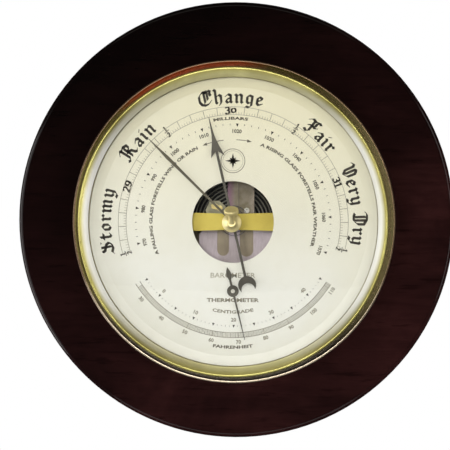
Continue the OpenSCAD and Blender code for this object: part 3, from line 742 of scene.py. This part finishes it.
def make_capsule():
    """Two corrugated diaphragms soldered at the rim, with a boss for the stud."""
    low, high, r = foot_of("capsule"), top_of("capsule"), radius_of("capsule")
    wave, pitch = 0.3, GROOVE_PITCH
    body, boss = 6.0, 4.0
    under = low + 0.8
    plate = under + 4.6
    waves = [(5 + (r - 7.4) * i / 150) for i in range(151)]
    profile = [(0, low + 0.6), (2.2, low + 0.6), (2.2, low), (body, low), (body, under), (r - 1.2, under)]
    profile += arc(r - 0.6, under + 0.6, 0.6, -90, 80, 8)
    profile += [(r - 1.0, under + 1.6), (r - 1.0, under + 3.0)]
    profile += arc(r - 0.6, under + 3.7, 0.6, -80, 95, 8)
    profile += [(r - 1.6, plate - 0.2)]
    profile += [(q, plate + wave * math.cos(FULL_TURN * (q - 5) / pitch)) for q in reversed(waves)]
    profile += [(boss, plate + 0.7), (boss, high - 0.3), (boss - 0.3, high), (1.6, high), (1.6, high - 1.5),
                (0, high - 1.5)]
    can = lathe("aneroid_capsule", profile, 192, closed=False)
    finish_piece(can, "frame", nickel_silver, "nickel_silver", "capsule")


def make_chain():
    """A fine chain: round-ended links, each turned a quarter from the last."""
    (x, _), (low, high) = centre_of("chain"), (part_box("chain")[0].z / MM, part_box("chain")[1].z / MM)
    h = (top_of("chain") + foot_of("chain")) / 2
    wire, half, pitch = 0.07, 0.17, 0.8
    around, sides = 16, 6
    count = int((high - low) / pitch)
    points, faces = [], []
    for link in range(count):
        middle = low + (link + 0.5) * (high - low) / count
        start = len(points)
        for s in range(around):
            turn = FULL_TURN * s / around
            along = (pitch * 0.62 - half) * (1 if math.sin(turn) >= 0 else -1)
            for t in range(sides):
                ring = FULL_TURN * t / sides
                reach = half + wire * math.cos(ring) - wire
                u, v = reach * math.cos(turn), reach * math.sin(turn) + along
                w = wire * math.sin(ring)
                points.append((x + (u if link % 2 else w), middle + v, h + (w if link % 2 else u)))
        for s in range(around):
            for t in range(sides):
                here, there = start + s * sides, start + (s + 1) % around * sides
                faces.append((here + t, there + t, there + (t + 1) % sides, here + (t + 1) % sides))
    chain = mesh_piece("fine_chain", points, faces, 60)
    finish_piece(chain, "chain_line", chain_steel, "steel", "chain")


# ---- dial print ----

BLACKLETTER = nib(1.22, 0.3, 42)
BOLD = nib(0.78, 0.34, 12)


def print_weather_words():
    """Kinds of weather in black letter; for each, its clockwise turn and its baseline's radius."""
    words = {"Stormy": (-89.5, 57.2), "Rain": (-49.8, 55.6), "Change": (-1.0, 55.5), "Fair": (45.5, 54.4),
             "Very": (73.0, 55.7), "Dry": (93.2, 55.9)}
    shapes = []
    for word, (turn, base) in words.items():
        shapes += bend(write(word, LETTERS, BLACKLETTER, 0.55), base, turn)
    print_piece("weather_words", shapes, dark_ink)


INCH_TURN, INCH_30 = 70.2, -1.1
INCH_BAND = 50.3, 54.0


def print_inch_scale():
    """Inches of mercury: a band of tenths and fiftieths with its large figures across it."""
    inner, outer = INCH_BAND
    lines, figures = [], []
    low, high = 28.5, 31.5
    ends = [INCH_30 + (value - 30) * INCH_TURN for value in (low, high)]
    for r in INCH_BAND:
        lines += circle_line(r, 0.26, *ends)
    for fiftieth in range(round((high - low) * 50) + 1):
        turn = INCH_30 + (low - 30 + fiftieth / 50) * INCH_TURN
        tenth = fiftieth % 5 == 0
        lines += tick(turn, inner, outer if tenth else inner + 1.2, 0.3 if tenth else 0.2)
    for value in (29, 30, 31):
        turn = INCH_30 + (value - 30) * INCH_TURN
        figures += bend(moved(write(str(value), FIGURES, BOLD, 0.2), y=-1.8), 52.3, turn)
    for half in (28.5, 29.5, 30.5, 31.5):
        turn = INCH_30 + (half - 30) * INCH_TURN
        mark = moved(write("1", FIGURES, BOLD), y=0.45, scale=0.62)
        mark += moved(write("2", FIGURES, BOLD), y=-2.9, scale=0.62)
        mark += pen([[(-1.1, -0.1), (1.1, 0.1)]], nib(0.3, 0.3, 0))
        figures += bend(mark, 52.6, turn)
    print_piece("inch_scale", lines, pale_ink)
    print_piece("inch_figures", figures, dark_ink)


def print_millibar_scale():
    """Millibars inside the inches, ten to a pointed mark."""
    turn_each, turn_1020, r = 2.11, 2.6, 45.3
    marks, figures = [], []
    for value in range(970, 1071, 2):
        turn = turn_1020 + (value - 1020) * turn_each
        if value % 10:
            marks += tick(turn, r, r + 0.8, 0.24)
            continue
        marks += bend([polygon([(0, -0.7), (0.65, 0.9), (-0.65, 0.9)])], r, turn)
        figures += bend(moved(capitals(str(value), 1.85, bold=0.035), y=-0.9), 42.6, turn)
    print_piece("millibar_marks", marks, dark_ink)
    print_piece("millibar_figures", figures, soft_ink)


def print_thermometer_scale():
    """Fahrenheit outside a hatched band and Centigrade inside it, both round the foot of the dial."""
    f_turn, f_70 = -1.316, 177.3
    inner, outer = 52.0, 54.3
    band, marks, figures = [], [], []
    start, end = 122.5, 237.5
    for r in (inner, outer):
        band += circle_line(r, 0.3, start, end)
    degrees = range(26, 112)
    for value in degrees:
        turn = f_70 + (value - 70) * f_turn
        whole = value % 10 == 0
        band += tick(turn, inner, outer, 0.42 if whole else 0.28)
        band += tick(turn + f_turn / 2, inner + 0.3, outer - 0.3, 0.2)
    for value in range(30, 111, 10):
        turn = f_70 + (value - 70) * f_turn
        figures += bend(moved(capitals(str(value), 1.9, bold=0.035), y=-0.95), 56.4, turn, inward=True)
    c_turn, c_20 = -2.268, 179.6
    for value in range(-5, 46):
        turn = c_20 + (value - 20) * c_turn
        if value % 5:
            marks += tick(turn, 48.6, 49.2, 0.16)
        else:
            marks += bend([polygon([(0, -0.75), (0.62, 0.6), (-0.62, 0.6)])], 48.9, turn, inward=True)
        if value % 10 == 0:
            figures += bend(moved(capitals(str(value), 1.9, bold=0.035), y=-0.95), 45.9, turn, inward=True)
    print_piece("thermometer_band", band, grey_ink)
    print_piece("thermometer_marks", marks, dark_ink)
    print_piece("thermometer_figures", figures, grey_ink)


def print_captions():
    """Plain names of what each scale shows, and sayings round the millibars with an arrow each way."""
    names = moved(capitals("THERMOMETER", 1.9, 24.6, bold=0.04), y=-37.6)
    names += bend(moved(capitals("CENTIGRADE", 1.6, 19.4, bold=0.035), y=-0.75), 42.3, 180, inward=True)
    words = bend(moved(capitals("MILLIBARS", 1.45, 16.4, bold=0.04), y=-0.7), 48.6, -1.2)
    words += bend(moved(capitals("FAHRENHEIT", 1.5, 18.8, bold=0.04), y=-0.75), 58.8, 180, inward=True)
    r = 38.6
    left, right = "A FALLING GLASS FORETELLS WIND OR RAIN", "A RISING GLASS FORETELLS FAIR WEATHER"
    width = math.radians(88) * r
    words += bend(moved(capitals(left, 1.6, width, bold=0.04), y=-0.8), r, -69.5)
    words += bend(moved(capitals(right, 1.6, width, bold=0.04), y=-0.8), r, 63.5)
    arrows = circle_line(r, 0.3, -18.5, -6.5) + circle_line(r, 0.3, 2.5, 10)
    for turn, way in ((-18.5, -1), (10, 1)):
        arrows += bend([polygon([(0, -0.75), (way * 2.2, 0), (0, 0.75)][::way])], r, turn)
    print_piece("scale_names", names, grey_ink)
    print_piece("captions", words + arrows, soft_ink)
    print_piece("dial_title", moved(capitals("BAROMETER", 2.4, 21, bold=0.01), y=-26.2), pale_ink)


def print_rose():
    """A small eight-pointed compass star in a ring, above the window."""
    high, ring = 28.7, 5.6
    rose = circle_line(ring, 0.35) + circle_line(ring - 0.9, 0.15)
    star = []
    for k in range(8):
        reach, waist = (3.6, 0.75) if k % 2 == 0 else (2.2, 0.6)
        turn = FULL_TURN * k / 8
        s, c = math.sin(turn), math.cos(turn)
        diamond = [(0, reach), (-waist, waist), (0, 0), (waist, waist)]
        star.append(polygon([(x * c + y * s, y * c - x * s) for x, y in diamond]))
    print_piece("rose_ring", moved(rose, y=high), grey_ink)
    print_piece("rose_star", moved(star, y=high), dark_ink)


make_bezel()
make_glass()
make_knob()
make_capsule()
make_chain()
print_weather_words()
print_inch_scale()
print_millibar_scale()
print_thermometer_scale()
print_captions()
print_rose()


# ---- floor, light and camera ----

def make_floor():
    half, depth = 1.2, -0.36
    mesh = bpy.data.meshes.new("studio_floor")
    corners = [(-half, -half, depth), (half, -half, depth), (half, half, depth), (-half, half, depth)]
    mesh.from_pydata(corners, [], [(0, 1, 2, 3)])
    floor = bpy.data.objects.new("studio_floor", mesh)
    bpy.context.scene.collection.objects.link(floor)
    m = Material("floor_paint", Roughness=0.7)
    cloud = m.noise(3, 3, 0.5)
    floor.data.materials.append(m.drive(
        Base_Color=m.ramp(cloud, [(0.3, srgb(232, 231, 228)), (0.7, srgb(238, 237, 235))])))
    floor.visible_glossy = False


def direction(azimuth, elevation):
    """A unit vector out of the dial, turned to the right and up by these degrees."""
    a, e = math.radians(azimuth), math.radians(elevation)
    return Vector((math.sin(a) * math.cos(e), -math.cos(a) * math.cos(e), math.sin(e)))


def softbox(name, azimuth, elevation, distance, width, height, watts, colour=(1, 1, 1), spared=()):
    """An area light aimed at the dial; it neither lights nor shines on the spared pieces."""
    light = bpy.data.lights.new(name, "AREA")
    light.shape = "RECTANGLE"
    light.size, light.size_y = width, height
    light.energy = watts
    light.color = colour
    box = bpy.data.objects.new(name, light)
    bpy.context.scene.collection.objects.link(box)
    box.location = direction(azimuth, elevation) * distance
    box.rotation_euler = direction(azimuth, elevation).to_track_quat("Z", "Y").to_euler()
    box.visible_camera = False
    if spared:
        receivers = bpy.data.collections.new(name + "_receivers")
        for name_of_piece in spared:
            receivers.objects.link(bpy.data.objects[name_of_piece])
        for link in receivers.collection_objects:
            link.light_linking.link_state = "EXCLUDE"
        box.light_linking.receiver_collection = receivers


def make_world(seen, light):
    """White where the camera looks past the object, and a dim room for everything else."""
    world = bpy.data.worlds.new("studio")
    bpy.context.scene.world = world
    world.use_nodes = True
    tree = world.node_tree
    room = tree.nodes["Background"]
    room.inputs["Color"].default_value = light
    white = tree.nodes.new("ShaderNodeBackground")
    white.inputs["Color"].default_value = seen
    rays = tree.nodes.new("ShaderNodeLightPath")
    both = tree.nodes.new("ShaderNodeMixShader")
    tree.links.new(rays.outputs["Is Camera Ray"], both.inputs[0])
    tree.links.new(room.outputs[0], both.inputs[1])
    tree.links.new(white.outputs[0], both.inputs[2])
    tree.links.new(both.outputs[0], tree.nodes["World Output"].inputs["Surface"])


def make_camera():
    """The photograph's view: almost straight on, from a little to the right and above."""
    azimuth, elevation, distance = 3.0, 1.5, 0.9
    aim = front(-3.76, -1.41, dial_face)
    seen_width = 0.2117
    data = bpy.data.cameras.new("camera")
    data.sensor_width = 36
    data.lens = data.sensor_width * distance / seen_width
    camera = bpy.data.objects.new("camera", data)
    bpy.context.scene.collection.objects.link(camera)
    camera.location = aim + direction(azimuth, elevation) * distance
    camera.rotation_euler = direction(azimuth, elevation).to_track_quat("Z", "Y").to_euler()
    bpy.context.scene.camera = camera


make_floor()
make_world(seen=(1, 1, 1, 1), light=(0.035, 0.035, 0.035, 1))
softbox("front", -4, 10, 1.3, 0.5, 0.5, 6.6, spared=("dome_glass", nodes["wood_base"].name))
softbox("key_left", -46, -6, 1.3, 0.5, 1.2, 2.7)
softbox("rim_left", -77, -8, 1.2, 0.5, 1.3, 8.5)
softbox("key_right", 49, 3, 1.3, 0.4, 1.0, 3.3, (1.0, 0.99, 0.98))
softbox("low_front", -4, -43, 1.2, 1.2, 0.4, 2.5)
softbox("high_front", -4, 42, 1.2, 1.2, 0.35, 1.0, (1.0, 0.94, 0.84))
make_camera()

scene = bpy.context.scene
scene.view_settings.view_transform = "Standard"
